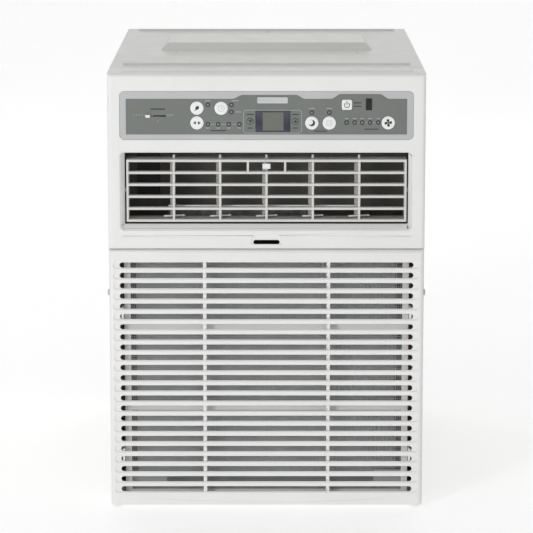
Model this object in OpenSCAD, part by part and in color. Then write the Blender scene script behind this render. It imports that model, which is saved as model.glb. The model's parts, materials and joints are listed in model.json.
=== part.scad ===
// Window air conditioner for a narrow slider window.
// A chassis with both coils, the compressor and a double-shaft fan motor sits
// under a sheet cabinet, behind a moulded front with a tilting louver and a
// hinged intake grille.
// Millimetres. X runs across the width, -Y is the front, Z = 0 is the base.
// Depths (names with _d) are measured back from the intake grille's face.

/* [Overall] */
// Width of the cabinet and of the front panel
unit_w = 368; // [350:1:460]
// Depth from the intake grille's face to the rear guard's face
unit_d = 530; // [510:1:660]
// Height of the cabinet's flat top
cabinet_h = 514; // [500:1:640]
// Thickness of the moulded plastic walls
wall_t = 2.5; // [2:0.1:3]
// Thickness of the cabinet's steel sheet
sheet_t = 1; // [0.8:0.1:1.6]
// Clearance between pieces that move past each other
run_gap = 0.3; // [0.2:0.05:0.5]
// Radial clearance of a pin in its bore
pin_gap = 0.06; // [0.02:0.01:0.1]

/* [Front panel] */
// Depth of the upper panel's face
face_d = 4; // [2:0.5:8]
// Depth of the panel's rear edge
panel_d = 60; // [50:1:80]
// Radius of the panel's outer edges
edge_r = 5; // [3:0.5:8]
// Drop from the cabinet top to the seam above the grille
seam_drop = 205; // [200:1:215]
// Gap along that seam
seam_gap = 0.8; // [0.6:0.1:2]
// Height of the ridges pressed into the top
ridge_h = 2.2; // [1:0.1:4]
// Depth of each ridge, front to back
ridge_t = 5; // [4:0.5:8]
// Gap between a ridge's end and the side
ridge_inset = 14.5; // [10:0.5:30]

/* [Controls] */
// Half width of the control recess
control_half_w = 169.7; // [165:0.1:172]
// Height of the control recess
control_h = 56.6; // [54:0.1:60]
// Drop from the cabinet top to the middle of the recess
control_drop = 48.8; // [47:0.1:55]
// Corner radius of the recess
control_r = 6; // [3:0.5:10]
// Depth of the recess below the panel's face
control_pocket = 1.5; // [1.2:0.1:2]
// Radius of the round buttons
button_r = 7.8; // [6:0.1:8]
// Radius of the two small temperature buttons
small_button_r = 3.6; // [3:0.1:4]
// Half width of the square power button
power_half = 6; // [5:0.1:7]
// Travel of each button
button_travel = 0.9; // [0.5:0.1:1.2]
// Radius of an indicator lens
lens_r = 2.6; // [2:0.1:2.8]
// Travel of the exhaust lever
lever_travel = 19.8; // [10:0.1:22]
// Width of the exhaust lever's knob
lever_w = 5.2; // [4:0.1:7]

/* [Outlet] */
// Half width of the outlet opening
outlet_half_w = 168; // [166:0.5:172]
// Drop from the cabinet top to the opening's top edge
outlet_drop = 92.3; // [90:0.1:96]
// Height of the outlet opening
outlet_h = 89.1; // [84:0.1:92]
// Corner radius of the opening
outlet_r = 4; // [2:0.5:8]
// Height of the louver frame over its outer bars
louver_h = 73; // [66:0.5:76]
// Height of each louver bar's front edge
bar_t = 2.9; // [2:0.1:4]
// Number of horizontal louver bars
bar_count = 6; // [4:1:8]
// Depth of the inner bars and ribs, front to back
bar_depth = 8.5; // [6:0.5:9]
// Width of each upright rib of the louver frame
rib_t = 2.6; // [2:0.1:4]
// Spacing of the ribs and of the vanes behind them
vane_pitch = 53.8; // [48:0.1:56]
// Thickness of each vane
vane_t = 2; // [1.5:0.1:3]
// Length of each vane behind its pivot
vane_chord = 15; // [12:0.5:18]
// Distance from a vane's pivot to its link pin
crank = 11; // [8:0.5:12]
// How far the vanes stand turned to the left
vane_rest = 16; // [0:1:20]

/* [Intake grille] */
// Height of each slot
slot_h = 6.3; // [4:0.1:8]
// Pitch of the slots
slot_pitch = 12.2; // [11:0.1:16]
// Half width of the slots
slot_half_w = 171; // [166:0.5:172]
// How far each slot's shallow groove runs past the slot's end
groove_run = 7; // [4:0.5:8]
// Height of that groove
groove_h = 7.6; // [6:0.1:10]
// Distance of the two upright ribs from the middle
grille_rib_x = 72; // [50:1:100]
// Width of those ribs
grille_rib_t = 4; // [3:0.1:8]
// Depth of the grille's side flanges
grille_depth = 14; // [10:0.5:15]
// Radius of the hinge pins
hinge_r = 1.5; // [1.2:0.1:1.8]

/* [Filter] */
// Depth of the filter frame's front face
filter_d = 15.5; // [15.5:0.5:17]
// Thickness of the filter frame
filter_t = 5; // [3:0.5:6]
// Half width of the filter frame
filter_half_w = 166.5; // [160:0.5:168]
// Width of the filter frame's rails
rail_w = 7.5; // [5:0.5:12]

/* [Cabinet top] */
// Height of the raised wedge at its front
wedge_h = 8.5; // [4:0.5:15]
// Half width of the wedge's base at its front
wedge_half_w = 131; // [100:1:150]
// Depth of the wedge's front edge
wedge_front_d = 261; // [240:1:280]
// Length of the wedge, front to back
wedge_len = 209; // [150:1:220]
// Spacing of the two mounting holes ahead of the wedge
top_hole_spacing = 222; // [180:1:260]
// Radius of the mounting holes
top_hole_r = 2.2; // [1.5:0.1:3]

/* [Coils] */
// Outer radius of the coil tubes
tube_r = 4.8; // [3.5:0.1:5]
// Vertical pitch of the tubes
tube_pitch = 25.4; // [22:0.2:28]
// Thickness of the coil's end plates
end_plate_t = 1.2; // [1:0.1:2]
// Half width of the evaporator's fins
evap_half_w = 152; // [130:1:153]
// Depth of the evaporator's front
evap_d = 32; // [30:1:34]
// Thickness of the fin packs, front to back
fin_t = 28; // [26:0.5:32]
// Number of tubes across the evaporator
evap_tubes_n = 10; // [6:2:10]
// Half width of the condenser's fins
cond_half_w = 158; // [130:1:159]
// Number of tubes across the condenser
cond_tubes_n = 16; // [12:2:16]

/* [Blower and fan] */
// Height of the motor's shaft
shaft_z = 215; // [205:1:216]
// Radius of the motor's shaft
shaft_r = 6; // [5:0.5:8]
// Radius of the blower wheel
wheel_r = 85; // [70:1:86]
// Depth of the bulkhead's front face
bulkhead_d = 158; // [150:1:170]
// Radius of the motor
motor_r = 48; // [40:1:50]
// Length of the motor's can
motor_len = 80; // [60:1:90]
// Radius of the axial fan over its slinger ring
fan_r = 136; // [110:1:150]
// Number of fan blades
fan_blades = 5; // [3:1:7]
// Number of blower blades
blower_blades = 30; // [20:1:36]

/* [Compressor] */
// Radius of the compressor's can
comp_r = 56; // [45:1:57]
// Distance of the compressor from the middle
comp_x = 112; // [110:1:116]
// Height of the compressor's can
comp_h = 173; // [120:1:180]

/* [Hidden] */
$fn = 48;
eps = 0.01;
through = 1;
half_w = unit_w / 2;
front_y = -unit_d / 2;
seam_z = cabinet_h - seam_drop;
panel_z0 = seam_z + seam_gap / 2;
base_gap = 1.5;
tongue_x = half_w - sheet_t;

// controls
control_z = cabinet_h - control_drop;
pocket_d = face_d + control_pocket;
label_d = pocket_d - 0.8;
label_half_w = 162;
label_drop = 1.3;
label_h = 41.1;
backing_d = pocket_d + 3;
flange_d = backing_d + run_gap;
board_d = backing_d + 4.5;
control_gap = 0.3;
// [x, height above the recess's middle]
big_buttons = [[-80.2, 8.6], [-80.2, -8.5], [-52.3, 8.4], [52.3, -8.7], [72.4, -8.7], [140.4, -8.5]];
small_buttons = [[33.3, -6.8], [-18.9, -6.8]];
power_button = [92.7, 12.5];
lenses = [
    [-67.6, 12.3], [-40.4, 12.3], [-40.4, 4.1], [-67.6, -10.3], [-55.7, -10.3], [-43.5, -10.3],
    [-31.3, -10.3], [52.3, 3.4], [72.4, 3.4], [92.4, -8.2], [101.7, -8.2], [110.4, -8.2],
    [119.4, -8.2], [128.9, -8.2]
];
display_x = [-12.8, 27.6];
display_z = [-19.2, 5.3];
receiver_x = [114.3, 121.8];
receiver_z = [6, 19.8];
plate_x = [-10.9, 24.8];
plate_z = [14, 21.3];
lever_x = -136.9;
lever_z = -0.7;
lever_slot_h = 1.7;

// outlet
outlet_z1 = cabinet_h - outlet_drop;
outlet_z0 = outlet_z1 - outlet_h;
outlet_z = (outlet_z0 + outlet_z1) / 2 - 0.5;
throat_d = 32;
throat_t = 2;
louver_half_w = outlet_half_w - 5.5;
louver_d0 = 9;
louver_d1 = 36;
tilt_d = 18;
louver_pin_r = 2.5;
// sloped edges that run in from the face towards the louver frame
mouth_lead = 2.2;
surround_run = 5.8;
surround_gap = 1;
surround_drop = 1.6;
vane_d = 22;
vane_pin_r = 1.5;
bar_gap = (louver_h - bar_t) / (bar_count - 1);
louver_z0 = outlet_z - louver_h / 2;
louver_z1 = outlet_z + louver_h / 2;
link_z = louver_z0 + bar_t / 2 + bar_gap;
link_t = 1.6;
link_w = 5;
link_slot_play = 0.35;
link_pin_r = 0.9;
// how far the vanes turn to each side of straight, and their feet and tab
vane_swing = 25;
foot_half_w = 12.5;
tab_half_w = 4.5;
tab_arm_t = 2.4;
tab_low = bar_gap - 4.2;

// intake grille
grille_half_w = half_w - 1;
grille_z0 = 3;
grille_z1 = seam_z - seam_gap / 2;
first_slot_drop = 15.4;
lip_h = 18.5;
slot_top = seam_z - first_slot_drop;
slot_count = floor((slot_top - slot_h - lip_h) / slot_pitch) + 1;
groove_t = 1.1;
tab_z = seam_z - 52;
tab_out = 2.2;
hinge_d = 6;
hinge_z = 8;
ear_x0 = grille_half_w - wall_t - 6.5;
ear_x1 = grille_half_w - wall_t - 2.5;

// chassis
pan_t = 1.6;
pan_half_w = half_w - 4;
pan_d0 = 22;
pan_d1 = unit_d - 6.4;
pan_h = 22;
cabinet_d0 = panel_d + 1;
guard_t = 3;
cabinet_d1 = unit_d - guard_t;
cabinet_z0 = 2;
tongue_t = 2;
bulkhead_t = 1.5;
bulkhead_half_w = half_w - 6;
tray_z0 = 4;
tray_half_w = 165;
screw_r = 1.8;
screw_d = cabinet_d0 + 8;
screw_heights = [45, seam_z - 50, cabinet_h - 60];
// screws low down that hold the cabinet to the pan: depth and height
pan_screw = [320, 12];
screws = concat([for (z = screw_heights) [screw_d, z]], [pan_screw]);
side_hole_z = [130, 390];
side_hole_d = 110;
side_hole_r = 2;
gland_d = 76;
gland_z = 80;
drain_x = 150;
drain_z = 11;
drain_r = 6.5;

// coils
evap_z0 = 29;
fin_margin = 8.5;
evap_h = evap_tubes_n * tube_pitch + 2 * fin_margin;
evap_row_d = evap_d + fin_t / 2;
cond_d = unit_d - 56;
cond_z0 = 26;
cond_h = cond_tubes_n * tube_pitch;
cond_row_d = cond_d + fin_t / 2;
bend_r = tube_pitch / 2;
tube_reach = end_plate_t + 1;
evap_zs = [for (i = [0:evap_tubes_n - 1]) evap_z0 + fin_margin + tube_pitch * (i + 0.5)];
cond_zs = [for (i = [0:cond_tubes_n - 1]) cond_z0 + tube_pitch * (i + 0.5)];
suction_z = evap_zs[evap_tubes_n - 1];
liquid_z = cond_zs[0];

// blower and fan
duct_z0 = outlet_z0 - throat_t;
duct_d0 = throat_d;
scroll_t = 2.5;
scroll_r0 = wheel_r + 5;
scroll_r1 = wheel_r + 35;
scroll_a0 = 50;
scroll_sweep = 230;
scroll_steps = 36;
scroll_mouth_x = scroll_r0 * cos(scroll_a0);
housing_d0 = 73.5;
wheel_d0 = 84;
wheel_d1 = bulkhead_d - 6;
motor_d0 = bulkhead_d + 12;
motor_d1 = motor_d0 + motor_len;
shroud_d = cond_d - 70;
fan_d0 = shroud_d - 20;
fan_d1 = shroud_d + 8;
shroud_ring_r = fan_r + 6;
shroud_half_w = half_w - 16;
shroud_t = 1.5;

// exhaust damper
damper_x0 = -160;
damper_x1 = -126;
damper_z0 = outlet_z0 + 14;
damper_hinge_z = outlet_z1 - 17;
damper_hinge_d = bulkhead_d + bulkhead_t + 2.5;

// compressor and lines
comp_d = 250;
comp_z0 = 17;
comp_top = comp_z0 + comp_h;
line_r = 4;
suction_r = 5;
capillary_r = 1.5;
line_x = half_w - 13;
capillary_x = line_x + 2;
foot_angles = [30, 150, 270];
stub_r = 6;
stub_top = comp_top + 10;
suction_stub = [comp_x + 18, comp_d + 12];
discharge_stub = [comp_x - 18, comp_d - 10];

// ---- shared shapes ----

// A block between two places on each axis; depths run back from the front.
module slab(x0, x1, d0, d1, z0, z1)
    translate([x0, front_y + d0, z0]) cube([x1 - x0, d1 - d0, z1 - z0]);

module along_x(x0, x1, d, z, r)
    translate([x0, front_y + d, z]) rotate([0, 90, 0]) cylinder(r = r, h = x1 - x0);

module along_y(x, d0, d1, z, r)
    translate([x, front_y + d0, z]) rotate([-90, 0, 0]) cylinder(r = r, h = d1 - d0);

module along_z(x, d, z0, z1, r)
    translate([x, front_y + d, z0]) cylinder(r = r, h = z1 - z0);

// A plate facing the front, with round corners.
module round_plate(x0, x1, d0, d1, z0, z1, r) {
    slab(x0 + r, x1 - r, d0, d1, z0, z1);
    slab(x0, x1, d0, d1, z0 + r, z1 - r);
    for (x = [x0 + r, x1 - r], z = [z0 + r, z1 - r]) along_y(x, d0, d1, z, r);
}

// A level slot with round ends, cut from front to back.
module level_slot(x0, x1, d0, d1, z, h) {
    slab(x0 + h / 2, x1 - h / 2, d0, d1, z - h / 2, z + h / 2);
    for (x = [x0 + h / 2, x1 - h / 2]) along_y(x, d0, d1, z, h / 2);
}

// Points of an arc about [cx, cy].
function arc(cx, cy, r, a0, a1, n = 6) =
    [for (i = [0:n]) let (a = a0 + (a1 - a0) * i / n) [cx + r * cos(a), cy + r * sin(a)]];

// A block whose upright front edges and top front edge are round.
module round_front_block(hw, d0, d1, z0, z1, r) {
    intersection() {
        translate([0, front_y, z0]) linear_extrude(z1 - z0)
            polygon(concat(arc(-hw + r, d0 + r, r, 180, 270), arc(hw - r, d0 + r, r, 270, 360),
                           [[hw, d1], [-hw, d1]]));
        translate([-hw, front_y, 0]) rotate([90, 0, 90]) linear_extrude(2 * hw)
            polygon(concat([[d1, z0], [d1, z1]], arc(d0 + r, z1 - r, r, 90, 180), [[d0, z0]]));
    }
}

// A straight round bar from p to q, both [x, depth, z].
module bar(p, q, r) {
    v = q - p;
    run = norm(v);
    translate([p[0], front_y + p[1], p[2]])
        rotate([0, acos(v[2] / run), atan2(v[1], v[0])]) cylinder(r = r, h = run);
}

// A tube through the points, with a round elbow at each inner one.
module tube_run(points, r) {
    for (i = [1:len(points) - 1]) bar(points[i - 1], points[i], r);
    for (i = [1:len(points) - 2])
        translate([points[i][0], front_y + points[i][1], points[i][2]]) sphere(r = r * 1.06);
}

// Half a torus in the XZ plane, bulging to the side that side gives.
module return_bend(x, d, z, side, r)
    translate([x, front_y + d, z]) rotate([0, 90 * side, 0]) rotate([90, 0, 0])
        rotate_extrude(angle = 180) translate([bend_r, 0]) circle(r = r);

// ---- controls ----

// Everything that the controls need cut through a sheet between two depths.
module control_holes(d0, d1) {
    for (p = big_buttons) along_y(p[0], d0, d1, control_z + p[1], button_r + control_gap);
    for (p = small_buttons)
        along_y(p[0], d0, d1, control_z + p[1], small_button_r + control_gap);
    for (p = lenses) along_y(p[0], d0, d1, control_z + p[1], lens_r + 0.1);
    reach = power_half + control_gap;
    slab(power_button[0] - reach, power_button[0] + reach, d0, d1,
         control_z + power_button[1] - reach, control_z + power_button[1] + reach);
    slab(display_x[0], display_x[1], d0, d1, control_z + display_z[0], control_z + display_z[1]);
    slab(receiver_x[0], receiver_x[1], d0, d1, control_z + receiver_z[0],
         control_z + receiver_z[1]);
    slab(lever_x - 1.5, lever_x + lever_travel + 1.5, d0, d1,
         control_z + lever_z - lever_slot_h / 2, control_z + lever_z + lever_slot_h / 2);
}

// Smooth step from 0 to 1 as x passes from a to b.
function ease(x, a, b) = 0.5 - 0.5 * cos(180 * min(1, max(0, (x - a) / (b - a))));

// Top edge of the label: level, with two low humps.
function label_top(x) = control_z - label_drop + label_h / 2
    + 4.5 * ease(x, -40, -27) * (1 - ease(x, 34, 44.5))
    + 5.6 * ease(x, 74, 86) * (1 - ease(x, 130, 142));

label_knots = concat([-label_half_w], [for (i = [0:6]) -40 + 13 * i / 6],
                     [for (i = [0:6]) 34 + 10.5 * i / 6], [for (i = [0:6]) 74 + 12 * i / 6],
                     [for (i = [0:6]) 130 + 12 * i / 6], [label_half_w]);

// The label's outline, grown by a margin, as a plate between two depths.
module label_plate(margin, d0, d1) {
    low = control_z - label_drop - label_h / 2 - margin;
    translate([0, front_y + d1, 0]) rotate([90, 0, 0]) linear_extrude(d1 - d0)
        polygon(concat([[-label_half_w - margin, low]],
                       [for (x = label_knots)
                           [x + (abs(x) == label_half_w ? sign(x) * margin : 0),
                            label_top(x) + margin]],
                       [[label_half_w + margin, low]]));
}

module control_trim() {
    color("silver") difference() {
        round_plate(-control_half_w + 0.2, control_half_w - 0.2, label_d - 0.4, pocket_d,
                    control_z - control_h / 2 + 0.2, control_z + control_h / 2 - 0.2,
                    control_r - 0.2);
        label_plate(0.1, label_d - through, pocket_d + through);
    }
}

module control_label() {
    color([0.49, 0.5, 0.48]) difference() {
        label_plate(0, label_d, pocket_d);
        control_holes(label_d - through, pocket_d + through);
    }
}

module name_plate() {
    color("whitesmoke") round_plate(plate_x[0], plate_x[1], label_d - 0.7, label_d,
        control_z + plate_z[0], control_z + plate_z[1], 1);
}

module display_window() {
    color([0.3, 0.31, 0.36])
        slab(display_x[0] + 0.1, display_x[1] - 0.1, label_d - 0.4, pocket_d + 2,
             control_z + display_z[0] + 0.1, control_z + display_z[1] - 0.1);
}

module receiver_window() {
    color([0.25, 0.24, 0.24])
        slab(receiver_x[0] + 0.1, receiver_x[1] - 0.1, label_d - 0.3, pocket_d + 2,
             control_z + receiver_z[0] + 0.1, control_z + receiver_z[1] - 0.1);
}

module indicator_lenses() {
    color([0.18, 0.18, 0.26])
        for (p = lenses) along_y(p[0], label_d - 0.3, backing_d, control_z + p[1], lens_r);
}

module control_board() {
    color("darkgreen") union() {
        slab(-96, 152, board_d, board_d + 1.6, control_z - 22, control_z + 25);
        for (p = concat(big_buttons, small_buttons, [power_button]))
            along_y(p[0], board_d - 1.8, board_d + eps, control_z + p[1], 2);
        slab(display_x[0] + 1, display_x[1] - 1, pocket_d + 2.2, board_d + eps,
             control_z + display_z[0] + 1, control_z + display_z[1] - 1);
        for (p = lenses) along_y(p[0], backing_d + 1.5, board_d + eps, control_z + p[1], 1.5);
    }
}

// A round button: cap, and a bar behind the panel that keeps it in.
module round_button(p, r) {
    color("whitesmoke") union() {
        along_y(p[0], label_d - 1.1, flange_d + 1, control_z + p[1], r);
        slab(p[0] - r - 1.1, p[0] + r + 1.1, flange_d, flange_d + 1,
             control_z + p[1] - 2, control_z + p[1] + 2);
    }
}

module button_power() {
    color("whitesmoke") union() {
        x = power_button[0];
        z = control_z + power_button[1];
        round_plate(x - power_half, x + power_half, label_d - 1.1, flange_d + 1,
                    z - power_half, z + power_half, 1.2);
        slab(x - power_half - 1.1, x + power_half + 1.1, flange_d, flange_d + 1, z - 2, z + 2);
    }
}

module exhaust_lever() {
    z = control_z + lever_z;
    color("white") union() {
        slab(lever_x - lever_w / 2, lever_x + lever_w / 2, label_d - 2.8, label_d - run_gap,
             z - 1.6, z + 1.6);
        slab(lever_x - 1.2, lever_x + 1.2, label_d - 1, flange_d + 0.5, z - 0.5, z + 0.5);
        slab(lever_x - 6, lever_x + 6, flange_d, flange_d + 1.5, z - 3.5, z + 3.5);
    }
}

// ---- front panel ----

// The outlet's opening and throat, cut through the panel.
module outlet_cut() {
    round_plate(-outlet_half_w, outlet_half_w, face_d - through, throat_d + through,
                outlet_z0, outlet_z1, outlet_r);
    // sloping edge round the mouth
    wide = outlet_half_w + mouth_lead;
    hull() {
        round_plate(-wide, wide, face_d - 0.2, face_d, outlet_z0 - mouth_lead,
                    outlet_z1 + mouth_lead, outlet_r + mouth_lead);
        round_plate(-outlet_half_w, outlet_half_w, face_d + mouth_lead,
                    face_d + mouth_lead + 0.1, outlet_z0, outlet_z1, outlet_r);
    }
}

// A scoop for a finger above the grille's top edge.
module finger_recess() {
    z = seam_z + 8;
    level_slot(-15.2, 15.2, face_d - through, face_d + wall_t + through, z, 4.9);
    intersection() {
        translate([0, front_y + face_d, z - 3]) sphere(r = 18);
        slab(-18, 18, face_d - through, face_d + 1, z - 2.4, z + 8);
    }
}

module panel_ridge(d, top) {
    x = half_w - ridge_inset;
    translate([-x, front_y + d, top]) rotate([90, 0, 90]) linear_extrude(2 * x)
        polygon([[0, -0.2], [ridge_t, -0.2], [ridge_t, 0], [ridge_t - 1.5, ridge_h],
                 [0.6, ridge_h], [0, ridge_h - 0.6]]);
}

// Slopes at the sides and along the sill of the outlet opening. The frame swings clear of them.
module outlet_surround() {
    back_hw = louver_half_w + surround_gap;
    d0 = face_d + mouth_lead;
    d1 = d0 + surround_run;
    difference() {
        slab(-outlet_half_w - 0.5, outlet_half_w + 0.5, d0, d1, outlet_z0 - 0.5,
             outlet_z1 + 0.5);
        hull() {
            slab(-outlet_half_w, outlet_half_w, d0 - through, d0, outlet_z0,
                 outlet_z1 + through);
            slab(-back_hw, back_hw, d1, d1 + through, louver_z0 - surround_drop,
                 outlet_z1 + through);
        }
    }
}

module front_panel() {
    color("whitesmoke") outlet_surround();
    color("whitesmoke") difference() {
        union() {
            difference() {
                round_front_block(half_w, face_d, panel_d, panel_z0, cabinet_h, edge_r);
                slab(-half_w + wall_t, half_w - wall_t, face_d + wall_t, panel_d + through,
                     panel_z0 + wall_t, cabinet_h - wall_t);
                slab(-half_w + wall_t, half_w - wall_t, grille_depth, panel_d + through,
                     panel_z0 - through, panel_z0 + wall_t + through);
            }
            panel_ridge(23, cabinet_h);
            // backing of the control recess
            slab(-control_half_w - 2, control_half_w + 2, face_d + 1, backing_d,
                 control_z - control_h / 2 - 2, control_z + control_h / 2 + 2);
            // posts that hold the board
            for (x = [-90, 46, 146], z = [-18.5, 21])
                along_y(x, backing_d - 1, board_d, control_z + z, 2.5);
            // throat behind the outlet opening
            slab(-outlet_half_w - throat_t, outlet_half_w + throat_t, face_d + 1, throat_d,
                 outlet_z0 - throat_t, outlet_z1 + throat_t);
            // lower side walls, bottom rail and hinge ears
            for (s = [-1, 1]) {
                slab(s > 0 ? half_w - wall_t : -half_w, s > 0 ? half_w : -half_w + wall_t,
                     grille_depth + 2, panel_d, base_gap, panel_z0 + 1);
                x0 = s > 0 ? ear_x0 : -ear_x1;
                x1 = s > 0 ? ear_x1 : -ear_x0;
                along_x(x0, x1, hinge_d, hinge_z, 3.2);
                slab(x0, x1, hinge_d, grille_depth + 6, hinge_z - 3.2, hinge_z + 3.2);
                slab(x0, x1, grille_depth + 2, grille_depth + 6, base_gap, hinge_z);
            }
            slab(-half_w + 1, half_w - 1, grille_depth + 2, pan_d0, base_gap, base_gap + wall_t);
            // tongues that the cabinet is screwed to
            for (s = [-1, 1])
                slab(s > 0 ? tongue_x - tongue_t : -tongue_x, s > 0 ? tongue_x : tongue_t - tongue_x,
                     panel_d - 8, cabinet_d0 + 16, base_gap, cabinet_h - wall_t);
        }
        outlet_cut();
        finger_recess();
        round_plate(-control_half_w, control_half_w, face_d - through, pocket_d,
                    control_z - control_h / 2, control_z + control_h / 2, control_r);
        control_holes(pocket_d - through, backing_d + through);
        along_x(-outlet_half_w - throat_t - through, outlet_half_w + throat_t + through,
                tilt_d, outlet_z, louver_pin_r + pin_gap);
        for (s = [-1, 1])
            along_x(s > 0 ? ear_x0 - 1 : -ear_x1 - 1, s > 0 ? ear_x1 + 1 : -ear_x0 + 1,
                    hinge_d, hinge_z, hinge_r);
        for (z = screw_heights)
            along_x(-half_w, half_w, screw_d, z, screw_r);
        along_x(half_w - 8, half_w, gland_d, gland_z, 7);
        // faint line above the finger recess
        slab(-outlet_half_w, outlet_half_w, face_d - through, face_d + 0.3,
             seam_z + 15.2, seam_z + 15.8);
    }
}

// ---- outlet ----

module louver_frame() {
    hw = louver_half_w;
    color("white") difference() {
        union() {
            for (i = [1:bar_count - 2]) {
                z = louver_z0 + bar_t / 2 + i * bar_gap;
                slab(-hw, hw, louver_d0, louver_d0 + bar_depth, z - bar_t / 2, z + bar_t / 2);
            }
            slab(-hw, hw, louver_d0, louver_d1, louver_z0, louver_z0 + bar_t);
            slab(-hw, hw, louver_d0, louver_d1, louver_z1 - bar_t, louver_z1);
            for (s = [-1, 1]) {
                slab(s > 0 ? hw - 2.5 : -hw, s > 0 ? hw : -hw + 2.5, louver_d0, louver_d1,
                     louver_z0, louver_z1);
                along_x(s > 0 ? hw - 1 : -outlet_half_w - throat_t,
                        s > 0 ? outlet_half_w + throat_t : -hw + 1,
                        tilt_d, outlet_z, louver_pin_r);
            }
            top_row = louver_z1 - bar_gap;
            for (i = [-2:2])
                slab(i * vane_pitch - rib_t / 2, i * vane_pitch + rib_t / 2, louver_d0 + 0.5,
                     louver_d0 + bar_depth, louver_z0 + 1, i == 0 ? top_row : louver_z1 - 1);
            for (x = [-21.6, 21.6])
                slab(x - rib_t / 2, x + rib_t / 2, louver_d0 + 0.5, louver_d0 + bar_depth,
                     top_row - 1, louver_z1 - 1);
        }
        for (i = [-2:2])
            along_z(i * vane_pitch, vane_d, louver_z0 - through, louver_z1 + through,
                    vane_pin_r + pin_gap);
    }
}

// Turns its children about an upright axis, to the left when seen from the front.
module turned(x, d, angle)
    translate([x, front_y + d, 0]) rotate([0, 0, angle]) translate([-x, -front_y - d, 0]) children();

// One upright vane. The middle one has a tab to set them all by.
module vane(i) {
    x = (i - 3) * vane_pitch;
    low = louver_z0 + bar_t + run_gap;
    high = louver_z1 - bar_t - run_gap;
    tab_z0 = louver_z1 - tab_low;
    color("white") turned(x, vane_d, vane_rest) {
        difference() {
            slab(x - vane_t / 2, x + vane_t / 2, vane_d - 2.5, vane_d + vane_chord, low, high);
            slab(x - vane_t, x + vane_t, vane_d + crank - link_w / 2 - 1.6,
                 vane_d + vane_chord + through, link_z - link_t / 2 - 1,
                 link_z + link_t / 2 + 1);
        }
        slab(x - foot_half_w, x + foot_half_w, vane_d - 2, vane_d + 1.5, low + 1.5, low + 3.2);
        along_z(x, vane_d + crank, link_z - link_t / 2 - 1.5, link_z + link_t / 2 + 1.5,
                link_pin_r);
    }
    color("white") along_z(x, vane_d, louver_z0 + 0.2, louver_z1 + 4, vane_pin_r);
    if (i == 3) color("white") {
        slab(x - tab_arm_t / 2, x + tab_arm_t / 2, louver_d0 - 4, vane_d - 1, tab_z0,
             louver_z1 - bar_t - 1.5);
        slab(x - tab_half_w, x + tab_half_w, louver_d0 - 6, louver_d0 - 3, tab_z0,
             louver_z1 - bar_t - 1.2);
    }
}

module vane_link() {
    hole_r = link_pin_r + link_slot_play;
    drop = crank * (1 - cos(vane_swing));
    shift = -crank * sin(vane_rest);
    ends = 2 * vane_pitch + 4;
    color("white") difference() {
        slab(shift - ends, shift + ends, vane_d + crank - link_w / 2,
             vane_d + crank + link_w / 2, link_z - link_t / 2, link_z + link_t / 2);
        for (i = [-2:2]) {
            x = i * vane_pitch + shift;
            slab(x - hole_r, x + hole_r, vane_d + crank - drop, vane_d + crank,
                 link_z - link_t, link_z + link_t);
            for (d = [0, drop])
                along_z(x, vane_d + crank - d, link_z - link_t, link_z + link_t, hole_r);
        }
    }
}

// Dark duct from the blower up to the throat, closed by its own rear wall.
module outlet_duct() {
    hw = outlet_half_w + throat_t;
    back = bulkhead_d - throat_t;
    color([0.12, 0.12, 0.12]) difference() {
        slab(-hw, hw, duct_d0, bulkhead_d, duct_z0, outlet_z1 + throat_t);
        slab(-outlet_half_w, outlet_half_w, duct_d0 - through, back, outlet_z0, outlet_z1);
        slab(-scroll_r1, scroll_mouth_x, housing_d0 + scroll_t, back, duct_z0 - through,
             outlet_z0 + through);
        damper_window(back, bulkhead_d);
    }
}

// ---- intake grille ----

function slot_z(i) = slot_top - slot_h / 2 - i * slot_pitch;

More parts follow.
